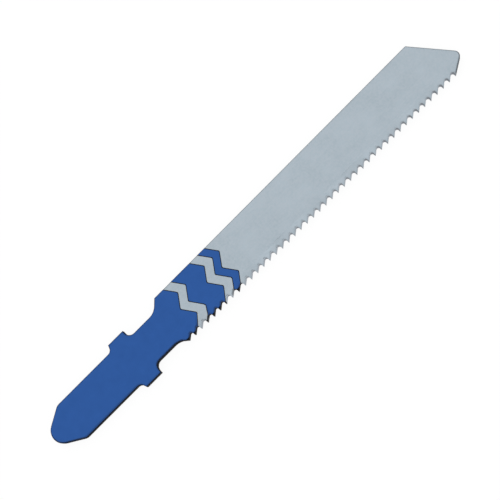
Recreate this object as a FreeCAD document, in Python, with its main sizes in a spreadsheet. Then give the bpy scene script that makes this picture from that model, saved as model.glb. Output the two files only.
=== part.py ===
# Jigsaw blade for metal, with a T shank: one flat piece of high-speed steel strip.
# It is punched to its outline, its teeth are milled along the belly, and the tooth line is
# pressed into a gentle wave, so that the cut comes out wider than the strip.
#
# The frame, in millimetres: X runs along the blade to its free end, Y across it to its back,
# and Z up through its thickness. The origin is on the centre line of the shank, in the plane
# of the lugs' front shoulders, on the lower face.

import FreeCAD
import Part
import Sketcher
import math
import os

NODE = "blade"

# Driving sizes in millimetres and degrees: each one can be changed by itself
SIZES = {
    # The strip, and the small round that punching and tumbling leave on its edges
    "thickness": 1.0,
    "edge_round": 0.1,
    # The shank behind the shoulders, and the two slopes that make its nose
    "shank_length": 17.02,
    "shank_width": 6.15,
    "nose_angle": 30.7,
    "nose_radius": 1.84,
    "nose_side_radius": 1.2,
    # The two lugs of the T, each with a leaning flank behind and a square shoulder in front
    "lug_reach": 0.93,
    "lug_length": 2.8,
    "lug_lean": 20,
    "lug_root_radius": 0.78,
    "shoulder_radius": 0.96,
    # The neck in front of the lugs, and the slopes that open it to the full width
    "neck_width": 5.27,
    "back_start": 6.31,
    "back_slope_angle": 45.3,
    "back_slope_radius": 2.2,
    "belly_start": 5.816,
    "belly_slope_angle": 40,
    "belly_slope_radius": 2.35,
    # The back edge and the line of the tooth tips: how far from the shank's centre line they
    # start, and how many degrees they lean apart from it, so that the blade widens forwards
    "back_height": 4.1,
    "tip_depth": 3.56,
    "flare": 0.145,
    # The free end: a long bevel from the back, and a rounded corner in front of the teeth
    "end_length": 2.845,
    "end_bevel_angle": 52.8,
    "end_belly_angle": 32,
    "end_corner_radius": 0.8,
    # The teeth point to the shank. The first one is cut into the top of the belly slope.
    "tooth_lead": 0.106,
    "toothed_length": 51.6,
    "tooth_pitch": 1.2,
    "tooth_depth": 0.6,
    "tooth_lean": 2,
    "gullet_radius": 0.3,
    "tip_land": 0.04,
    # The set: how far the tips stand out to each side, how far up the blade the bend
    # starts, and how many teeth one wave takes
    "set_reach": 0.15,
    "set_height": 1.7,
    "teeth_per_wave": 6,
}

# The tooth row as the sheet works it out: a whole number of gullets between the tips
FIRST_TOOTH = "(sizes.belly_start - sizes.tooth_lead)"
GULLETS = "round(sizes.toothed_length / sizes.tooth_pitch)"
LAST_TOOTH = f"({FIRST_TOOTH} + {GULLETS} * sizes.tooth_pitch)"
FIRST_TIP_DEPTH = "(sizes.tip_depth - sizes.tooth_lead * tan(sizes.flare))"
# The largest radii that the lugs' flanks and shoulders and the neck's slopes have room for,
# if twice the round of the edges stays flat beside them
KEPT_FLAT = "2 * sizes.edge_round"
LUG_ROOT_ROOM = (f"((sizes.lug_reach / cos(sizes.lug_lean) - {KEPT_FLAT})"
                 " / tan(45 - sizes.lug_lean / 2))")
SHOULDER_ROOM = ("(sizes.shank_width / 2 + sizes.lug_reach - sizes.neck_width / 2"
                 f" - {KEPT_FLAT})")
BACK_SLOPE_ROOM = ("(((sizes.back_height - sizes.neck_width / 2) / sin(sizes.back_slope_angle)"
                   f" - {KEPT_FLAT}) / tan(sizes.back_slope_angle / 2))")
BELLY_SLOPE_ROOM = ("(((sizes.tip_depth - sizes.neck_width / 2) / sin(sizes.belly_slope_angle)"
                    f" - {KEPT_FLAT}) / tan(sizes.belly_slope_angle / 2))")
# Without their round, the two slopes of the nose would meet this far behind the shoulders
NOSE_POINT = "sizes.shank_length + sizes.nose_radius / sin(sizes.nose_angle) - sizes.nose_radius"


def make_sheet(doc):
    """The sheet of driving sizes, one to a row, under the names that the features use."""
    sheet = doc.addObject("Spreadsheet::Sheet", "sizes")
    for row, (alias, value) in enumerate(SIZES.items(), start=1):
        sheet.set(f"A{row}", alias)
        sheet.set(f"B{row}", str(value))
        sheet.setAlias(f"B{row}", alias)
    doc.recompute()
    return sheet


def climb(length, angle):
    return length * math.tan(math.radians(angle))


def stretch(height, angle):
    return height / math.tan(math.radians(angle))


def tooth_row(sheet):
    """Along the blade, the tips of the first tooth and of the last one."""
    first = sheet.belly_start - sheet.tooth_lead
    last = first + round(sheet.toothed_length / sheet.tooth_pitch) * sheet.tooth_pitch
    return first, last


def tip_line(sheet, x):
    """The height of the line of the tooth tips, at a place along the blade."""
    return -sheet.tip_depth - climb(x - sheet.belly_start, sheet.flare)


def outline_corners(sheet):
    """The outline's corners before rounding, from the nose along the back and round."""
    nose_rest = sheet.nose_radius / math.sin(math.radians(sheet.nose_angle)) - sheet.nose_radius
    nose = -sheet.shank_length - nose_rest
    shank = sheet.shank_width / 2
    lug = shank + sheet.lug_reach
    neck = sheet.neck_width / 2
    nose_side = nose + stretch(shank, sheet.nose_angle)
    lug_foot = -sheet.lug_length - climb(sheet.lug_reach, sheet.lug_lean)
    back_foot = sheet.back_start - stretch(sheet.back_height - neck, sheet.back_slope_angle)
    belly_foot = sheet.belly_start - stretch(sheet.tip_depth - neck, sheet.belly_slope_angle)
    last_tip = tooth_row(sheet)[1]
    last_height = tip_line(sheet, last_tip)
    end = last_tip + sheet.end_length
    end_height = last_height + climb(sheet.end_length, sheet.end_belly_angle)
    # Behind the end the bevel rises and the back edge falls, until they meet
    back_at_end = sheet.back_height + climb(end - sheet.back_start, sheet.flare)
    closing = climb(1, sheet.end_bevel_angle) + climb(1, sheet.flare)
    bevel_length = (back_at_end - end_height) / closing
    bevel_height = end_height + climb(bevel_length, sheet.end_bevel_angle)
    return {
        "nose": (nose, 0.0),
        "nose_side_back": (nose_side, shank),
        "lug_foot_back": (lug_foot, shank),
        "lug_rear_back": (-sheet.lug_length, lug),
        "lug_front_back": (0.0, lug),
        "shoulder_back": (0.0, neck),
        "slope_foot_back": (back_foot, neck),
        "slope_top_back": (sheet.back_start, sheet.back_height),
        "bevel_start": (end - bevel_length, bevel_height),
        "end_corner": (end, end_height),
        "last_tip": (last_tip, last_height),
        "slope_top_belly": (sheet.belly_start, -sheet.tip_depth),
        "slope_foot_belly": (belly_foot, -neck),
        "shoulder_belly": (0.0, -neck),
        "lug_front_belly": (0.0, -lug),
        "lug_rear_belly": (-sheet.lug_length, -lug),
        "lug_foot_belly": (lug_foot, -shank),
        "nose_side_belly": (nose_side, -shank),
    }


def sketch_on_plane(body, name):
    """An empty sketch on the body's own XY plane."""
    plane = next(item for item in body.Origin.OriginFeatures if item.Role == "XY_Plane")
    sketch = body.newObject("Sketcher::SketchObject", name)
    sketch.AttachmentSupport = [(plane, "")]
    sketch.MapMode = "FlatFace"
    return sketch


def constrain(sketch, *constraint):
    return sketch.addConstraint(Sketcher.Constraint(*constraint))


def bind(sketch, name, formula, *constraint):
    """Add a measured constraint and tie its value to the sheet."""
    sketch.renameConstraint(constrain(sketch, *constraint), name)
    sketch.setExpression("Constraints." + name, formula)


def bind_place(sketch, name, formula, direction, point, place):
    """Tie how far a point lies from the origin, along X or Y, to the sheet."""
    origin = (-1, 1)
    ends = origin + point if place > 0 else point + origin
    bind(sketch, name, formula, direction, *ends, abs(place))


def draw_outline(body, corners):
    """The outline as straight lines, symmetric from the nose to the neck."""
    sketch = sketch_on_plane(body, "outline")
    points = [FreeCAD.Vector(x, y, 0) for x, y in corners.values()]
    for start, end in zip(points, points[1:] + points[:1]):
        sketch.addGeometry(Part.LineSegment(start, end))
    for index in range(len(points)):
        constrain(sketch, "Coincident", index, 2, (index + 1) % len(points), 1)
    # Each line goes by the name of the corner that it starts from
    line = {name: index for index, name in enumerate(corners)}
    x_axis = -1
    y_axis = -2
    for name in ["nose_side_back", "lug_rear_back", "shoulder_back", "slope_foot_belly"]:
        constrain(sketch, "Horizontal", line[name])
    constrain(sketch, "Vertical", line["lug_front_back"])
    constrain(sketch, "PointOnObject", line["lug_front_back"], 1, y_axis)
    constrain(sketch, "PointOnObject", line["nose"], 1, x_axis)
    for name in ["nose_side", "lug_foot", "lug_rear", "lug_front", "shoulder"]:
        back, belly = line[name + "_back"], line[name + "_belly"]
        constrain(sketch, "Symmetric", back, 1, belly, 1, x_axis)
    return sketch, line


def measure_outline(sketch, line, corners):
    """Tie the outline's lengths, heights and slopes to the sheet."""
    lengths = {
        "nose": NOSE_POINT,
        "lug_rear_back": "sizes.lug_length",
        "slope_top_back": "sizes.back_start",
        "end_corner": f"{LAST_TOOTH} + sizes.end_length",
        "last_tip": LAST_TOOTH,
        "slope_top_belly": "sizes.belly_start",
    }
    heights = {
        "nose_side_back": "sizes.shank_width / 2",
        "lug_rear_back": "sizes.shank_width / 2 + sizes.lug_reach",
        "shoulder_back": "sizes.neck_width / 2",
        "slope_top_back": "sizes.back_height",
        "slope_top_belly": "sizes.tip_depth",
    }
    slopes = {
        "nose": "sizes.nose_angle",
        "lug_foot_back": "90 - sizes.lug_lean",
        "slope_foot_back": "sizes.back_slope_angle",
        "slope_top_back": "sizes.flare",
        "bevel_start": "-sizes.end_bevel_angle",
        "end_corner": "sizes.end_belly_angle - 180",
        "last_tip": "180 - sizes.flare",
        "slope_top_belly": "180 - sizes.belly_slope_angle",
    }
    for name, formula in lengths.items():
        point, place = (line[name], 1), corners[name][0]
        bind_place(sketch, name + "_along", formula, "DistanceX", point, place)
    for name, formula in heights.items():
        point, place = (line[name], 1), corners[name][1]
        bind_place(sketch, name + "_across", formula, "DistanceY", point, place)
    names = list(corners)
    for name, formula in slopes.items():
        x, y = corners[name]
        next_x, next_y = corners[names[line[name] + 1]]
        angle = math.atan2(next_y - y, next_x - x)
        bind(sketch, name + "_slope", formula, "Angle", line[name], angle)


def add_feature(body, kind, name):
    feature = body.newObject(kind, name)
    body.Tip = feature
    return feature


def upright_edges(shape, places):
    """Names of the edges that stand on the given corners of the outline."""
    found = []
    for index, edge in enumerate(shape.Edges, start=1):
        box = edge.BoundBox
        middle = edge.CenterOfMass
        stands = box.ZLength > box.XLength + box.YLength
        if stands and any(math.dist((middle.x, middle.y), place) < 1e-4 for place in places):
            found.append(f"Edge{index}")
    if len(found) != len(places):
        raise RuntimeError(f"{len(found)} upright edges found at {len(places)} corners")
    return found


def limited(radius, room):
    """A radius of the sheet, as a formula that its wall may limit."""
    return f"min(sizes.{radius}; {room})"


def round_corners(doc, body, name, formula, places):
    """Round the upright edges on some corners of the outline to one radius."""
    base = body.Tip
    edges = upright_edges(base.Shape, places)
    fillet = add_feature(body, "PartDesign::Fillet", name)
    fillet.Base = (base, edges)
    fillet.setExpression("Radius", formula)
    doc.recompute()


def round_edges(doc, body, sheet):
    """Take the sharpness off both faces all round, but leave the tooth line sharp."""
    base = body.Tip
    edges = []
    for index, edge in enumerate(base.Shape.Edges, start=1):
        middle = edge.CenterOfMass
        on_face = edge.BoundBox.ZLength < 1e-6
        on_tooth_line = abs(middle.y - tip_line(sheet, middle.x)) < 1e-6
        if on_face and not on_tooth_line:
            edges.append(f"Edge{index}")
    fillet = add_feature(body, "PartDesign::Fillet", "edge_rounds")
    fillet.Base = (base, edges)
    fillet.setExpression("Radius", "sizes.edge_round")
    doc.recompute()


def make_blank(doc, sheet):
    """The punched blank: the outline at the strip's thickness, with its corners rounded."""
    body = doc.addObject("PartDesign::Body", "blank")
    corners = outline_corners(sheet)
    sketch, line = draw_outline(body, corners)
    measure_outline(sketch, line, corners)
    doc.recompute()
    pad = add_feature(body, "PartDesign::Pad", "strip")
    pad.Profile = sketch
    pad.setExpression("Length", "sizes.thickness")
    doc.recompute()
    rounds = [
        ("nose_round", "sizes.nose_radius", ["nose"]),
        ("nose_side_rounds", "sizes.nose_side_radius", ["nose_side_back", "nose_side_belly"]),
        ("lug_roots", limited("lug_root_radius", LUG_ROOT_ROOM),
         ["lug_foot_back", "lug_foot_belly"]),
        ("shoulder_roots", limited("shoulder_radius", SHOULDER_ROOM),
         ["shoulder_back", "shoulder_belly"]),
        ("back_neck_round", limited("back_slope_radius", BACK_SLOPE_ROOM),
         ["slope_foot_back"]),
        ("belly_neck_round", limited("belly_slope_radius", BELLY_SLOPE_ROOM),
         ["slope_foot_belly"]),
        ("end_round", "sizes.end_corner_radius", ["end_corner"]),
    ]
    for name, formula, names in rounds:
        round_corners(doc, body, name, formula, [corners[corner] for corner in names])
    round_edges(doc, body, sheet)
    return body


def wave_surface(sheet):
    """The lower face of the tooth line: a cubic wave along it, a parabola across it."""
    first, last = tooth_row(sheet)
    start = first + sheet.tooth_pitch
    end = last - sheet.tooth_pitch
    half_wave = sheet.teeth_per_wave * sheet.tooth_pitch / 2
    spans = round((end - start) / half_wave)
    knots = [start + (end - start) * index / spans for index in range(spans + 1)]
    # Each control point of a cubic lies at the mean of three knots in a row
    held = [start] * 2 + knots + [end] * 2
    places = [sum(held[index:index + 3]) / 3 for index in range(spans + 3)]
    # Control heights that are up and down in turn make a wave of a third of their height
    crest = 3 * sheet.set_reach
    heights = [crest if index % 2 else -crest for index in range(spans + 3)]
    # With two level control points at each end, the wave starts and stops without a kink,
    # and with the next one lower, its first and last crests are no higher than the rest
    heights[:3] = [0.0, 0.0, 0.75 * heights[2]]
    heights[-3:] = [0.75 * heights[-3], 0.0, 0.0]
    # Across the blade the bend starts level and is full at the tips
    bend = sheet.set_height - sheet.tip_depth
    poles = [[FreeCAD.Vector(x, tip_line(sheet, x), height),
              FreeCAD.Vector(x, (tip_line(sheet, x) + bend) / 2, 0),
              FreeCAD.Vector(x, bend, 0)]
             for x, height in zip(places, heights)]
    along_counts = [4] + [1] * (spans - 1) + [4]
    surface = Part.BSplineSurface()
    surface.buildFromPolesMultsKnots(
        poles, along_counts, [3, 3], knots, [0.0, 1.0], False, False, 3, 2)
    return surface


def make_set(doc, sheet, blank):
    """Swap the straight strip along the tooth line for the one pressed into a wave."""
    window = doc.addObject("Part::Box", "tooth_line_window")
    window.setExpression("Length", f"{LAST_TOOTH} - {FIRST_TOOTH} - 2 * sizes.tooth_pitch")
    window.setExpression("Width", "2 * sizes.set_height")
    window.setExpression("Height", "3 * sizes.thickness")
    window.setExpression("Placement.Base.x", f"{FIRST_TOOTH} + sizes.tooth_pitch")
    window.setExpression("Placement.Base.y", "-sizes.tip_depth - sizes.set_height")
    window.setExpression("Placement.Base.z", "-sizes.thickness")
    opened = doc.addObject("Part::Cut", "blank_without_tooth_line")
    opened.Base = blank
    opened.Tool = window
    wavy = doc.addObject("Part::Feature", "wavy_tooth_line")
    wavy.Shape = wave_surface(sheet).toShape().extrude(FreeCAD.Vector(0, 0, sheet.thickness))
    joined = doc.addObject("Part::Fuse", "set_blank")
    joined.Base = opened
    joined.Tool = wavy
    doc.recompute()
    return joined


def draw_gullet(body, sheet):
    """The first gullet: along the back of one tooth, round the root, down the next face.

    The sketch's origin is the first tip, and its horizontal axis is the line of the tips.
    """
    left = sheet.tip_land / 2
    right = sheet.tooth_pitch - sheet.tip_land / 2
    radius = sheet.gullet_radius
    lean = math.radians(sheet.tooth_lean)
    # The root's centre, one radius clear of the leaning face and of the gullet's depth
    centre_height = sheet.tooth_depth - radius
    centre_x = right - climb(centre_height, sheet.tooth_lean) - radius / math.cos(lean)
    centre = FreeCAD.Vector(centre_x, centre_height, 0)
    # The tooth's back runs from its tip to touch the root
    distance = math.hypot(centre_x - left, centre_height)
    back = math.atan2(centre_height, centre_x - left) + math.asin(radius / distance)
    back_touch = back + math.pi / 2

    def on_root(angle):
        return centre + FreeCAD.Vector(radius * math.cos(angle), radius * math.sin(angle), 0)

    first_tip = FreeCAD.Vector(left, 0, 0)
    next_tip = FreeCAD.Vector(right, 0, 0)
    down = FreeCAD.Vector(0, -sheet.tooth_depth, 0)
    circle = Part.Circle(centre, FreeCAD.Vector(0, 0, 1), radius)
    sketch = sketch_on_plane(body, "gullet")
    turn = FreeCAD.Rotation(FreeCAD.Vector(0, 0, -1), sheet.flare)
    sketch.AttachmentOffset = FreeCAD.Placement(FreeCAD.Vector(), turn)
    sketch.setExpression("AttachmentOffset.Base.x", FIRST_TOOTH)
    sketch.setExpression("AttachmentOffset.Base.y", f"-{FIRST_TIP_DEPTH}")
    sketch.setExpression("AttachmentOffset.Rotation.Angle", "sizes.flare")
    tooth_back = sketch.addGeometry(Part.LineSegment(first_tip, on_root(back_touch)))
    root = sketch.addGeometry(Part.ArcOfCircle(circle, lean, back_touch))
    next_face = sketch.addGeometry(Part.LineSegment(on_root(lean), next_tip))
    right_side = sketch.addGeometry(Part.LineSegment(next_tip, next_tip + down))
    underside = sketch.addGeometry(Part.LineSegment(next_tip + down, first_tip + down))
    left_side = sketch.addGeometry(Part.LineSegment(first_tip + down, first_tip))
    constrain(sketch, "Tangent", tooth_back, 2, root, 2)
    constrain(sketch, "Tangent", root, 1, next_face, 1)
    constrain(sketch, "Coincident", next_face, 2, right_side, 1)
    constrain(sketch, "Coincident", right_side, 2, underside, 1)
    constrain(sketch, "Coincident", underside, 2, left_side, 1)
    constrain(sketch, "Coincident", left_side, 2, tooth_back, 1)
    constrain(sketch, "Vertical", right_side)
    constrain(sketch, "Vertical", left_side)
    constrain(sketch, "Horizontal", underside)

    x_axis = -1
    constrain(sketch, "PointOnObject", tooth_back, 1, x_axis)
    constrain(sketch, "PointOnObject", next_face, 2, x_axis)
    bind_place(sketch, "left", "sizes.tip_land / 2", "DistanceX", (tooth_back, 1), left)
    bind_place(sketch, "right", "sizes.tooth_pitch - sizes.tip_land / 2",
               "DistanceX", (next_face, 2), right)
    bind(sketch, "root_radius", "sizes.gullet_radius", "Radius", root, radius)
    bind(sketch, "root_height", "sizes.tooth_depth - sizes.gullet_radius",
         "DistanceY", tooth_back, 1, root, 3, centre_height)
    bind(sketch, "face_slope", "sizes.tooth_lean - 90", "Angle", next_face, lean - math.pi / 2)
    bind(sketch, "below_tips", "sizes.tooth_depth",
         "DistanceY", underside, 1, next_face, 2, sheet.tooth_depth)
    return sketch


def make_teeth(doc, sheet, joined):
    """Mill the gullets right through the tooth line, one pitch apart."""
    body = doc.addObject("PartDesign::Body", NODE)
    body.BaseFeature = joined
    doc.recompute()
    sketch = draw_gullet(body, sheet)
    doc.recompute()
    gullet = add_feature(body, "PartDesign::Pocket", "first_gullet")
    gullet.Profile = sketch
    gullet.Type = "ThroughAll"
    gullet.Midplane = True
    doc.recompute()
    row = add_feature(body, "PartDesign::LinearPattern", "gullets")
    row.Originals = [gullet]
    row.Direction = (sketch, ["H_Axis"])
    row.setExpression("Occurrences", GULLETS)
    row.setExpression("Length", f"({GULLETS} - 1) * sizes.tooth_pitch")
    doc.recompute()
    return body


def check_model(doc, joined, blade):
    """Stop if anything failed, or if the gullets took nothing away."""
    for item in doc.Objects:
        if "Invalid" in item.State or "Error" in item.State:
            raise RuntimeError(f"{item.Name} failed: {item.State}")
    shape = blade.Shape
    if shape.isNull() or not shape.isValid() or len(shape.Solids) != 1:
        raise RuntimeError(f"{NODE} isn't one valid solid")
    if shape.Volume >= joined.Shape.Volume:
        raise RuntimeError("the gullets cut nothing")


def main():
    doc = FreeCAD.newDocument("jigsaw_blade")
    sheet = make_sheet(doc)
    blank = make_blank(doc, sheet)
    joined = make_set(doc, sheet, blank)
    blade = make_teeth(doc, sheet, joined)
    check_model(doc, joined, blade)
    os.makedirs("parts", exist_ok=True)
    blade.Shape.exportStep(f"parts/{NODE}.step")
    print(NODE, "volume", round(blade.Shape.Volume, 3), "faces", len(blade.Shape.Faces))


main()
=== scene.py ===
import math

import bmesh
import bpy
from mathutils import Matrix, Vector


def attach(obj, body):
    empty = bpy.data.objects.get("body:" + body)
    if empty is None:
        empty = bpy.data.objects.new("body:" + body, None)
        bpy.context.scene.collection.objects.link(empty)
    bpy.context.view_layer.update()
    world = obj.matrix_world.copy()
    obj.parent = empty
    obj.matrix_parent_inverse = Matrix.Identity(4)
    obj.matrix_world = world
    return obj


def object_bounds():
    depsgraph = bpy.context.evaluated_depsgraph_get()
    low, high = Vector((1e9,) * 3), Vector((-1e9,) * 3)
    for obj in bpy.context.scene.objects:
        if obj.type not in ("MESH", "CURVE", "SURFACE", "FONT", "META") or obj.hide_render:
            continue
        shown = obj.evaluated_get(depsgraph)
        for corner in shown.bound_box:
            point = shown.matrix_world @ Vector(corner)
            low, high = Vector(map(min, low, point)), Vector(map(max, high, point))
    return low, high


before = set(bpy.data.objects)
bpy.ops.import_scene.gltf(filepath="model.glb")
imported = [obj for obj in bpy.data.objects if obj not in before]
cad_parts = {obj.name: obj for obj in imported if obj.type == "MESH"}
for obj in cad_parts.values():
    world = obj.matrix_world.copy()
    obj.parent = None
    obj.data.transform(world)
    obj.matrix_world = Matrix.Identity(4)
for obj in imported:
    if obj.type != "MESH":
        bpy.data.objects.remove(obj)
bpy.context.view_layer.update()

# The blade: one flat piece of high-speed steel strip, punched to its outline and hardened.
# Both faces are ground and blasted matt, the teeth are milled along the belly, and the tooth
# line is pressed into a gentle wave.
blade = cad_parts["blade"]
MM = 0.001
# How far down the highest gullet root is, and how far forward the last tooth tip
ROOT_LINE = -2.96 * MM
LAST_TIP = 57.31 * MM
# From where to where black ground coat has run along the teeth behind each band of lacquer,
# in millimetres, and how well it covers there
BLACK_RUNS = ((9.3, 10.1, 1.0), (14.35, 15.1, 0.5))


def linear(hex_colour):
    """The linear colour of an sRGB hex value."""
    channels = [int(hex_colour[place:place + 2], 16) / 255 for place in (1, 3, 5)]
    light = [c / 12.92 if c <= 0.04045 else ((c + 0.055) / 1.055) ** 2.4 for c in channels]
    return (*light, 1.0)


def add_node(tree, kind, inputs=None, **settings):
    """Add a node, make its settings, then set its inputs or link them to other sockets."""
    node = tree.nodes.new(kind)
    for name, value in settings.items():
        setattr(node, name, value)
    for socket, value in (inputs or {}).items():
        if isinstance(value, bpy.types.NodeSocket):
            tree.links.new(value, node.inputs[socket])
        else:
            node.inputs[socket].default_value = value
    return node


def new_material(name):
    """An empty material, with its node tree."""
    material = bpy.data.materials.new(name)
    material.use_nodes = True
    material.node_tree.nodes.clear()
    return material, material.node_tree


def spots(tree, place, size_mm, detail=2.0):
    """Soft irregular spots about as large as the given size, from 0 to 1."""
    return add_node(tree, "ShaderNodeTexNoise",
                    {"Vector": place, "Scale": 1 / (size_mm * MM), "Detail": detail}).outputs["Fac"]


def blend(tree, share, dark, light):
    """From one colour to another as the share goes from 0 to 1."""
    mix = add_node(tree, "ShaderNodeMix", data_type="RGBA")
    for socket, value in ((0, share), (6, dark), (7, light)):
        if isinstance(value, bpy.types.NodeSocket):
            tree.links.new(value, mix.inputs[socket])
        else:
            mix.inputs[socket].default_value = value
    return mix.outputs[2]


def from_to(tree, value, start, end, low=0.0, high=1.0):
    """Low up to the start of a range, high from its end on, and a smooth step between."""
    return add_node(tree, "ShaderNodeMapRange",
                    {"Value": value, "From Min": start, "From Max": end, "To Min": low,
                     "To Max": high}, interpolation_type="SMOOTHSTEP").outputs[0]


def on_walls(tree, coordinates):
    """0 on the flat faces, and 1 on the walls and where the edges' rounding turns down."""
    normal = add_node(tree, "ShaderNodeSeparateXYZ", {"Vector": coordinates.outputs["Normal"]})
    upright = add_node(tree, "ShaderNodeMath", {0: normal.outputs["Z"]}, operation="ABSOLUTE")
    return from_to(tree, upright.outputs[0], 0.96, 0.88)


def edge_shade_line(tree, width_mm):
    """1 on a narrow line along every edge, on both sides of it, and 0 elsewhere: where painted
    shade goes on the edges' rounding. The line is wider on the belly side, which faces away from
    the light."""
    rounded = add_node(tree, "ShaderNodeBevel", {"Radius": width_mm * MM}, samples=8).outputs[0]
    flat = add_node(tree, "ShaderNodeNewGeometry").outputs["Normal"]
    same = add_node(tree, "ShaderNodeVectorMath", {0: rounded, 1: flat}, operation="DOT_PRODUCT")
    lean = add_node(tree, "ShaderNodeVectorMath", {0: rounded, 1: flat}, operation="SUBTRACT")
    lean = add_node(tree, "ShaderNodeSeparateXYZ", {"Vector": lean.outputs[0]})
    share = add_node(tree, "ShaderNodeMath",
                     {0: lean.outputs["Y"], 1: 0.15, 2: same.outputs["Value"]},
                     operation="MULTIPLY_ADD").outputs[0]
    return from_to(tree, share, 0.99, 0.93)


def product(tree, first, second):
    return add_node(tree, "ShaderNodeMath", {0: first, 1: second},
                    operation="MULTIPLY").outputs[0]


def in_gullets(tree, place):
    """1 at and below the gullets' roots and behind the last tooth tip, and 0 elsewhere."""
    apart = add_node(tree, "ShaderNodeSeparateXYZ", {"Vector": place})
    low = from_to(tree, apart.outputs["Y"], ROOT_LINE + 0.1 * MM, ROOT_LINE)
    behind = from_to(tree, apart.outputs["X"], LAST_TIP + 0.08 * MM, LAST_TIP)
    return product(tree, low, behind)


def black_runs(tree, place):
    """How well black ground coat covers the stretches that it has run over, and 0 elsewhere."""
    apart = add_node(tree, "ShaderNodeSeparateXYZ", {"Vector": place})
    black = 0.0
    for start, end, cover in BLACK_RUNS:
        run = product(tree, from_to(tree, apart.outputs["X"], (start - 0.05) * MM, start * MM),
                      from_to(tree, apart.outputs["X"], (end + 0.05) * MM, end * MM))
        black = add_node(tree, "ShaderNodeMath", {0: run, 1: cover, 2: black},
                         operation="MULTIPLY_ADD").outputs[0]
    return black


def ground_high_speed_steel():
    """Matt bluish grey steel: no sharp reflection, faint clouding, and a fine blasted grain
    over traces of lengthwise grinding. The punched walls are a dark grey, painted shade over the
    hardened steel's own darker grey, with a thin line of painted shade along their edges. The
    milled gullets are brighter, and painted light and shade make them lighter where they face the
    free end, most of all on the teeth's backs, and darker where they face the shank."""
    material, tree = new_material("ground_high_speed_steel")
    coordinates = add_node(tree, "ShaderNodeTexCoord")
    place = coordinates.outputs["Object"]
    stretched = add_node(tree, "ShaderNodeMapping", {"Vector": place, "Scale": (0.03, 1, 1)})
    # Grinding lines are finer than this on the real strip, and are drawn 0.12 mm apart to show
    lines = spots(tree, stretched.outputs[0], 0.12)
    clouds = spots(tree, place, 2.4, detail=4.0)
    grain = spots(tree, place, 0.3)
    face = blend(tree, clouds, linear("#9FACB4"), linear("#B2BEC7"))
    face = blend(tree, from_to(tree, grain, 0.3, 0.7, 0.0, 0.6), face, linear("#B0B9C1"))
    # Painted shade over the hardened steel's own darker grey: the punched walls come out dark grey
    punched_tone_and_shade = blend(tree, grain, linear("#363B40"), linear("#484D52"))
    # Painted light and shade on the milled gullet walls: lighter facing the free end, darker facing
    # the shank
    turned = add_node(tree, "ShaderNodeSeparateXYZ", {"Vector": coordinates.outputs["Normal"]})
    milled_lit_and_shaded = blend(tree, from_to(tree, turned.outputs["X"], -0.6, 0.3),
                   linear("#7D848C"), linear("#A4ACB5"))
    gullets = in_gullets(tree, place)
    black = product(tree, black_runs(tree, place), gullets)
    wall = blend(tree, black, blend(tree, gullets, punched_tone_and_shade, milled_lit_and_shaded), linear("#0A0C0E"))
    colour = blend(tree, on_walls(tree, coordinates), face, wall)
    # A thin line of painted shade along every edge, faint in the gullets, black over the black runs
    strength = add_node(tree, "ShaderNodeMath",
                        {0: from_to(tree, gullets, 0.0, 1.0, 1.0, 0.15), 1: black},
                        operation="MAXIMUM").outputs[0]
    edge_shade = product(tree, edge_shade_line(tree, 0.35), strength)
    colour = blend(tree, edge_shade, colour, blend(tree, black, linear("#5E646A"), linear("#0A0C0E")))
    rough = add_node(tree, "ShaderNodeMapRange",
                     {"Value": lines, "To Min": 0.42, "To Max": 0.58}).outputs[0]
    bump = add_node(tree, "ShaderNodeBump",
                    {"Height": lines, "Strength": 0.12, "Distance": 0.02 * MM})
    bump = add_node(tree, "ShaderNodeBump",
                    {"Height": grain, "Strength": 0.3, "Distance": 0.02 * MM,
                     "Normal": bump.outputs[0]})
    surface = add_node(tree, "ShaderNodeBsdfPrincipled",
                       {"Base Color": colour, "Metallic": 1.0, "Roughness": rough,
                        "Normal": bump.outputs[0]})
    add_node(tree, "ShaderNodeOutputMaterial", {"Surface": surface.outputs[0]})
    return material


steel = ground_high_speed_steel()
blade.data.materials.clear()
blade.data.materials.append(steel)

# The lacquer: a blue coat over the shank and the neck, then two bands across the blade, all
# with zigzag ends. It is printed over a black ground coat, which shows as a thin line round
# each band. Painted shade colours the walls under the blue nearly black.
# Sizes in millimetres: the zigzag's corners lie a step apart from its start on, and every
# second one is set back by the rise
ZIGZAG_STEP = 1.95
ZIGZAG_START = -5.5
ZIGZAG_RISE = 1.36
# Where each coat's zigzag is furthest forward, how far back the coat reaches, and by how much
# its front and its rear end are drawn in at the tooth line
COATS = {"shank": (9.13, 28.0, 0.28, 0.0), "middle_band": (14.28, 3.445, 0.08, 0.38),
         "front_band": (17.205, 1.17, 0.06, 0.1)}


def black_ground_coat():
    """Dead black ground coat: it only shows as a line a hair wide."""
    material, tree = new_material("black_ground_coat")
    coordinates = add_node(tree, "ShaderNodeTexCoord")
    grain = spots(tree, coordinates.outputs["Object"], 0.15)
    colour = blend(tree, grain, linear("#1A1E24"), linear("#2A2F36"))
    surface = add_node(tree, "ShaderNodeBsdfPrincipled",
                       {"Base Color": colour, "Roughness": 0.7, "Specular IOR Level": 0.1})
    add_node(tree, "ShaderNodeOutputMaterial", {"Surface": surface.outputs[0]})
    return material


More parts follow.
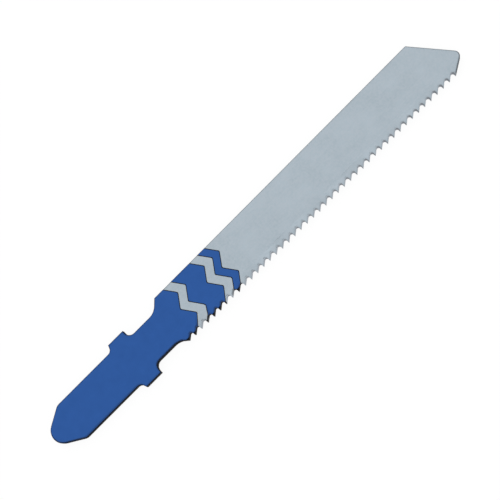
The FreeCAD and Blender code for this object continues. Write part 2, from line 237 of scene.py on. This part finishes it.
def away_from_zigzags(tree, place):
    """0 within a hair of a coat's zigzag ends, and 1 elsewhere."""
    apart = add_node(tree, "ShaderNodeSeparateXYZ", {"Vector": place})
    # How far forward each place is, measured as if the zigzags were straight lines
    across = add_node(tree, "ShaderNodeMath", {0: apart.outputs["Y"], 1: ZIGZAG_START * MM},
                      operation="SUBTRACT")
    fold = add_node(tree, "ShaderNodeMath", {0: across.outputs[0], 1: ZIGZAG_STEP * MM},
                    operation="PINGPONG")
    unfolded = add_node(tree, "ShaderNodeMath",
                        {0: fold.outputs[0], 1: ZIGZAG_RISE / ZIGZAG_STEP,
                         2: apart.outputs["X"]}, operation="MULTIPLY_ADD").outputs[0]
    share = 1.0
    for front, length, *_ in COATS.values():
        for end in (front, front - length):
            gap = add_node(tree, "ShaderNodeMath", {0: unfolded, 1: end * MM},
                           operation="SUBTRACT")
            gap = add_node(tree, "ShaderNodeMath", {0: gap.outputs[0]}, operation="ABSOLUTE")
            share = product(tree, share, from_to(tree, gap.outputs[0], 0.2 * MM, 0.4 * MM))
    return share


def low_on_teeth(tree, place, start, end):
    """0 above the start of a step down the teeth and behind them, and 1 below its end."""
    apart = add_node(tree, "ShaderNodeSeparateXYZ", {"Vector": place})
    return product(tree, from_to(tree, apart.outputs["Y"], start, end),
                   from_to(tree, apart.outputs["X"], 5.2 * MM, 5.5 * MM))


def blue_lacquer():
    """Satin blue lacquer: an even deep blue with a slight orange peel. It covers the faces.
    Painted shade colours its walls and a thin line along its edges near black, and the tooth tips
    are coloured the same near black."""
    material, tree = new_material("blue_lacquer")
    coordinates = add_node(tree, "ShaderNodeTexCoord")
    place = coordinates.outputs["Object"]
    clouds = spots(tree, place, 1.2, detail=3.0)
    peel = spots(tree, place, 0.25)
    face = blend(tree, clouds, linear("#2858A0"), linear("#2E60AC"))
    # Painted shade: near black for the walls, which the tooth tips share
    wall = blend(tree, peel, linear("#050607"), linear("#0A0C0E"))
    tips = low_on_teeth(tree, place, -3.2 * MM, -3.36 * MM)
    walls = add_node(tree, "ShaderNodeMath", {0: on_walls(tree, coordinates), 1: tips},
                     operation="MAXIMUM").outputs[0]
    colour = blend(tree, walls, face, wall)
    # A thin line of painted shade along the edges, left off the zigzag ends and fainter in the
    # gullets
    edge_shade = product(tree, edge_shade_line(tree, 0.45), away_from_zigzags(tree, place))
    edge_shade = product(tree, edge_shade, from_to(tree, in_gullets(tree, place), 0.0, 1.0, 1.0, 0.45))
    colour = blend(tree, edge_shade, colour, linear("#16181A"))
    shine = from_to(tree, walls, 0.0, 1.0, 0.15, 0.02)
    bump = add_node(tree, "ShaderNodeBump",
                    {"Height": peel, "Strength": 0.15, "Distance": 0.02 * MM})
    surface = add_node(tree, "ShaderNodeBsdfPrincipled",
                       {"Base Color": colour, "Roughness": 0.5, "Specular IOR Level": shine,
                        "Normal": bump.outputs[0]})
    add_node(tree, "ShaderNodeOutputMaterial", {"Surface": surface.outputs[0]})
    return material


def coat_tree():
    """Geometry nodes that keep the stretch of a blade between two zigzags, one coat larger."""
    tree = bpy.data.node_groups.new("zigzag_coat", "GeometryNodeTree")
    face = tree.interface
    face.new_socket("Geometry", in_out="INPUT", socket_type="NodeSocketGeometry")
    for name in ("Front", "Length", "Front Taper", "Rear Taper", "Zigzag Step", "Zigzag Start",
                 "Zigzag Rise", "Corner Radius", "Coat"):
        face.new_socket(name, in_out="INPUT", socket_type="NodeSocketFloat")
    face.new_socket("Finish", in_out="INPUT", socket_type="NodeSocketMaterial")
    face.new_socket("Geometry", in_out="OUTPUT", socket_type="NodeSocketGeometry")
    given = add_node(tree, "NodeGroupInput").outputs

    # The zigzag, well below the blade: points a step apart, every second one set back
    start = add_node(tree, "ShaderNodeCombineXYZ",
                     {"X": given["Front"], "Y": given["Zigzag Start"], "Z": -3 * MM})
    step = add_node(tree, "ShaderNodeCombineXYZ", {"Y": given["Zigzag Step"]})
    points = add_node(tree, "GeometryNodeMeshLine",
                      {"Count": 7, "Start Location": start.outputs[0], "Offset": step.outputs[0]})
    index = add_node(tree, "GeometryNodeInputIndex")
    odd = add_node(tree, "ShaderNodeMath", {0: index.outputs[0], 1: 2.0}, operation="MODULO")
    back = add_node(tree, "ShaderNodeMath", {0: odd.outputs[0], 1: given["Zigzag Rise"]},
                    operation="MULTIPLY")
    away = add_node(tree, "ShaderNodeMath", {0: back.outputs[0], 1: -1.0}, operation="MULTIPLY")
    shift = add_node(tree, "ShaderNodeCombineXYZ", {"X": away.outputs[0]})
    zigzag = add_node(tree, "GeometryNodeSetPosition",
                      {"Geometry": points.outputs[0], "Offset": shift.outputs[0]})
    curve = add_node(tree, "GeometryNodeMeshToCurve", {"Mesh": zigzag.outputs[0]})
    curve = add_node(tree, "GeometryNodeFilletCurve",
                     {"Curve": curve.outputs[0], "Radius": given["Corner Radius"], "Count": 4},
                     mode="POLY")
    line = add_node(tree, "GeometryNodeCurveToMesh", {"Curve": curve.outputs[0]})

    # Towards the tooth line, from the zigzag's second corner to its first, both ends draw in
    place = add_node(tree, "GeometryNodeInputPosition").outputs[0]
    across = add_node(tree, "ShaderNodeSeparateXYZ", {"Vector": place}).outputs["Y"]
    first_corner = ZIGZAG_START + ZIGZAG_STEP
    drawn = add_node(tree, "ShaderNodeMapRange",
                     {"Value": across, "From Min": (first_corner + ZIGZAG_STEP) * MM,
                      "From Max": first_corner * MM}).outputs[0]
    inwards = product(tree, product(tree, drawn, given["Front Taper"]), -1.0)
    shift = add_node(tree, "ShaderNodeCombineXYZ", {"X": inwards})
    line = add_node(tree, "GeometryNodeSetPosition",
                    {"Geometry": line.outputs[0], "Offset": shift.outputs[0]})

    # The block that the coat is cut with: the zigzag drawn back along the blade, then up past it
    tapers = add_node(tree, "ShaderNodeMath", {0: given["Front Taper"], 1: given["Rear Taper"]},
                      operation="ADD")
    length = add_node(tree, "ShaderNodeMath",
                      {0: product(tree, drawn, tapers.outputs[0]), 1: given["Length"]},
                      operation="SUBTRACT")
    along = add_node(tree, "ShaderNodeCombineXYZ", {"X": length.outputs[0]})
    ribbon = add_node(tree, "GeometryNodeExtrudeMesh",
                      {"Mesh": line.outputs[0], "Offset": along.outputs[0], "Offset Scale": 1.0},
                      mode="EDGES")
    height = add_node(tree, "ShaderNodeCombineXYZ", {"Z": 8 * MM})
    raised = add_node(tree, "GeometryNodeExtrudeMesh",
                      {"Mesh": ribbon.outputs[0], "Offset": height.outputs[0],
                       "Offset Scale": 1.0, "Individual": False}, mode="FACES")
    underside = add_node(tree, "GeometryNodeFlipFaces", {"Mesh": ribbon.outputs[0]})
    block = add_node(tree, "GeometryNodeJoinGeometry")
    for part in (raised, underside):
        tree.links.new(part.outputs[0], block.inputs[0])
    block = add_node(tree, "GeometryNodeMergeByDistance",
                     {"Geometry": block.outputs[0], "Distance": 0.001 * MM})

    # The blade grown by the coat, three times as much on the gullets' walls, where wet coats
    # gather, and of that only what lies inside the block
    normal = add_node(tree, "GeometryNodeInputNormal")
    gathered = low_on_teeth(tree, place, -2.7 * MM, -3.0 * MM)
    times = add_node(tree, "ShaderNodeMath", {0: gathered, 1: 2.0, 2: 1.0},
                     operation="MULTIPLY_ADD").outputs[0]
    wall_coat = product(tree, given["Coat"], times)
    outwards = add_node(tree, "ShaderNodeCombineXYZ",
                        {"X": wall_coat, "Y": wall_coat, "Z": given["Coat"]})
    outwards = add_node(tree, "ShaderNodeVectorMath",
                        {0: normal.outputs[0], 1: outwards.outputs[0]}, operation="MULTIPLY")
    grown = add_node(tree, "GeometryNodeSetPosition",
                     {"Geometry": given["Geometry"], "Offset": outwards.outputs[0]})
    kept = add_node(tree, "GeometryNodeMeshBoolean", operation="INTERSECT", solver="EXACT")
    for part in (grown, block):
        tree.links.new(part.outputs[0], kept.inputs["Mesh 2"])
    real = add_node(tree, "GeometryNodeRealizeInstances", {"Geometry": kept.outputs["Mesh"]})
    finished = add_node(tree, "GeometryNodeSetMaterial",
                        {"Geometry": real.outputs[0], "Material": given["Finish"]})
    add_node(tree, "NodeGroupOutput", {0: finished.outputs[0]})
    return tree


def whole_copy(node):
    """A closed copy of a CAD node's loose triangles."""
    mesh = node.data.copy()
    mesh.materials.clear()
    work = bmesh.new()
    work.from_mesh(mesh)
    bmesh.ops.remove_doubles(work, verts=work.verts, dist=0.0005 * MM)
    work.to_mesh(mesh)
    work.free()
    return mesh


def coat(name, tree, finish, front, length, tapers, thickness):
    """One coat as a closed mesh round its stretch of the blade."""
    shape = bpy.data.objects.new(name + "_shape", whole_copy(blade))
    bpy.context.scene.collection.objects.link(shape)
    modifier = shape.modifiers.new("coat", "NODES")
    modifier.node_group = tree
    sizes = {"Front": front * MM, "Length": length * MM, "Front Taper": tapers[0] * MM,
             "Rear Taper": tapers[1] * MM, "Zigzag Step": ZIGZAG_STEP * MM,
             "Zigzag Start": ZIGZAG_START * MM, "Zigzag Rise": ZIGZAG_RISE * MM,
             "Corner Radius": 0.25 * MM, "Coat": thickness * MM, "Finish": finish}
    for socket in tree.interface.items_tree:
        if socket.in_out == "INPUT" and socket.name in sizes:
            modifier[socket.identifier] = sizes[socket.name]
    graph = bpy.context.evaluated_depsgraph_get()
    mesh = bpy.data.meshes.new_from_object(shape.evaluated_get(graph))
    mesh.shade_smooth()
    mesh.set_sharp_from_angle(angle=math.radians(8))
    piece = bpy.data.objects.new(name, mesh)
    bpy.context.scene.collection.objects.link(piece)
    bpy.data.objects.remove(shape)
    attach(piece, "root")
    return piece


zigzag_coat = coat_tree()
ground_coat = black_ground_coat()
lacquer = blue_lacquer()
# How far the black line stands out past the blue, and how thick the two coats are
LINE = 0.15
GROUND_COAT = 0.006
LACQUER_COAT = 0.015
for name, (front, length, *tapers) in COATS.items():
    coat(name + "_ground_coat", zigzag_coat, ground_coat, front + LINE, length + 2 * LINE, tapers,
         GROUND_COAT)
    coat(name + "_lacquer", zigzag_coat, lacquer, front, length, tapers, LACQUER_COAT)

# The studio: a white floor that the blade lies on, soft light from all sides with one
# large softbox beyond the back edge, and the camera nearly square above the blade.
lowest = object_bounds()[0].z
floor_mesh = bpy.data.meshes.new("floor")
floor_mesh.from_pydata([(-2, -2, lowest), (2, -2, lowest), (2, 2, lowest), (-2, 2, lowest)],
                       [], [(0, 1, 2, 3)])
floor = bpy.data.objects.new("floor", floor_mesh)
bpy.context.scene.collection.objects.link(floor)


def seen_directly(tree):
    """1 for what the camera sees directly, in a reflection or through glass, otherwise 0."""
    path = add_node(tree, "ShaderNodeLightPath").outputs
    seen = path["Is Camera Ray"]
    for kind in ("Is Glossy Ray", "Is Transmission Ray"):
        seen = add_node(tree, "ShaderNodeMath", {0: seen, 1: path[kind]},
                        operation="MAXIMUM").outputs[0]
    return seen


def white_floor():
    """Matt white paper, lifted to pure white for the eye with a faint shadow left on it."""
    material, tree = new_material("white_paper")
    paper = add_node(tree, "ShaderNodeBsdfDiffuse", {"Color": linear("#E9E9E9")})
    dimmed = add_node(tree, "ShaderNodeBsdfDiffuse", {"Color": linear("#565656")})
    glow = add_node(tree, "ShaderNodeEmission", {"Color": linear("#FFFFFF"), "Strength": 0.93})
    lifted = add_node(tree, "ShaderNodeAddShader", {0: dimmed.outputs[0], 1: glow.outputs[0]})
    surface = add_node(tree, "ShaderNodeMixShader",
                       {0: seen_directly(tree), 1: paper.outputs[0], 2: lifted.outputs[0]})
    add_node(tree, "ShaderNodeOutputMaterial", {"Surface": surface.outputs[0]})
    return material


floor_mesh.materials.append(white_floor())

world = bpy.data.worlds.new("studio")
world.use_nodes = True
world.node_tree.nodes.clear()
sky = add_node(world.node_tree, "ShaderNodeMapRange",
               {"Value": seen_directly(world.node_tree), "To Min": 0.8, "To Max": 1.0})
light = add_node(world.node_tree, "ShaderNodeBackground",
                 {"Color": linear("#FFFFFF"), "Strength": sky.outputs[0]})
add_node(world.node_tree, "ShaderNodeOutputWorld", {"Surface": light.outputs[0]})
bpy.context.scene.world = world

softbox_light = bpy.data.lights.new("softbox", "AREA")
softbox_light.shape = "SQUARE"
softbox_light.size = 0.4
softbox_light.energy = 0.3
softbox = bpy.data.objects.new("softbox", softbox_light)
softbox.location = (0.1, 0.45, 0.45)
softbox.rotation_euler = (math.radians(-45), 0, 0)
bpy.context.scene.collection.objects.link(softbox)

lens = bpy.data.cameras.new("camera")
lens.lens = 85
lens.sensor_width = 36
lens.clip_start = 0.01
camera = bpy.data.objects.new("camera", lens)
camera.location = (19.35 * MM, -39.87 * MM, 158.14 * MM)
# The camera leans 14 degrees towards the belly, and its frame is turned 45 degrees
camera.rotation_mode = "ZXY"
camera.rotation_euler = (math.radians(14.0), math.radians(-0.37), math.radians(-45.11))
bpy.context.scene.collection.objects.link(camera)
bpy.context.scene.camera = camera

bpy.context.scene.view_settings.view_transform = "Standard"
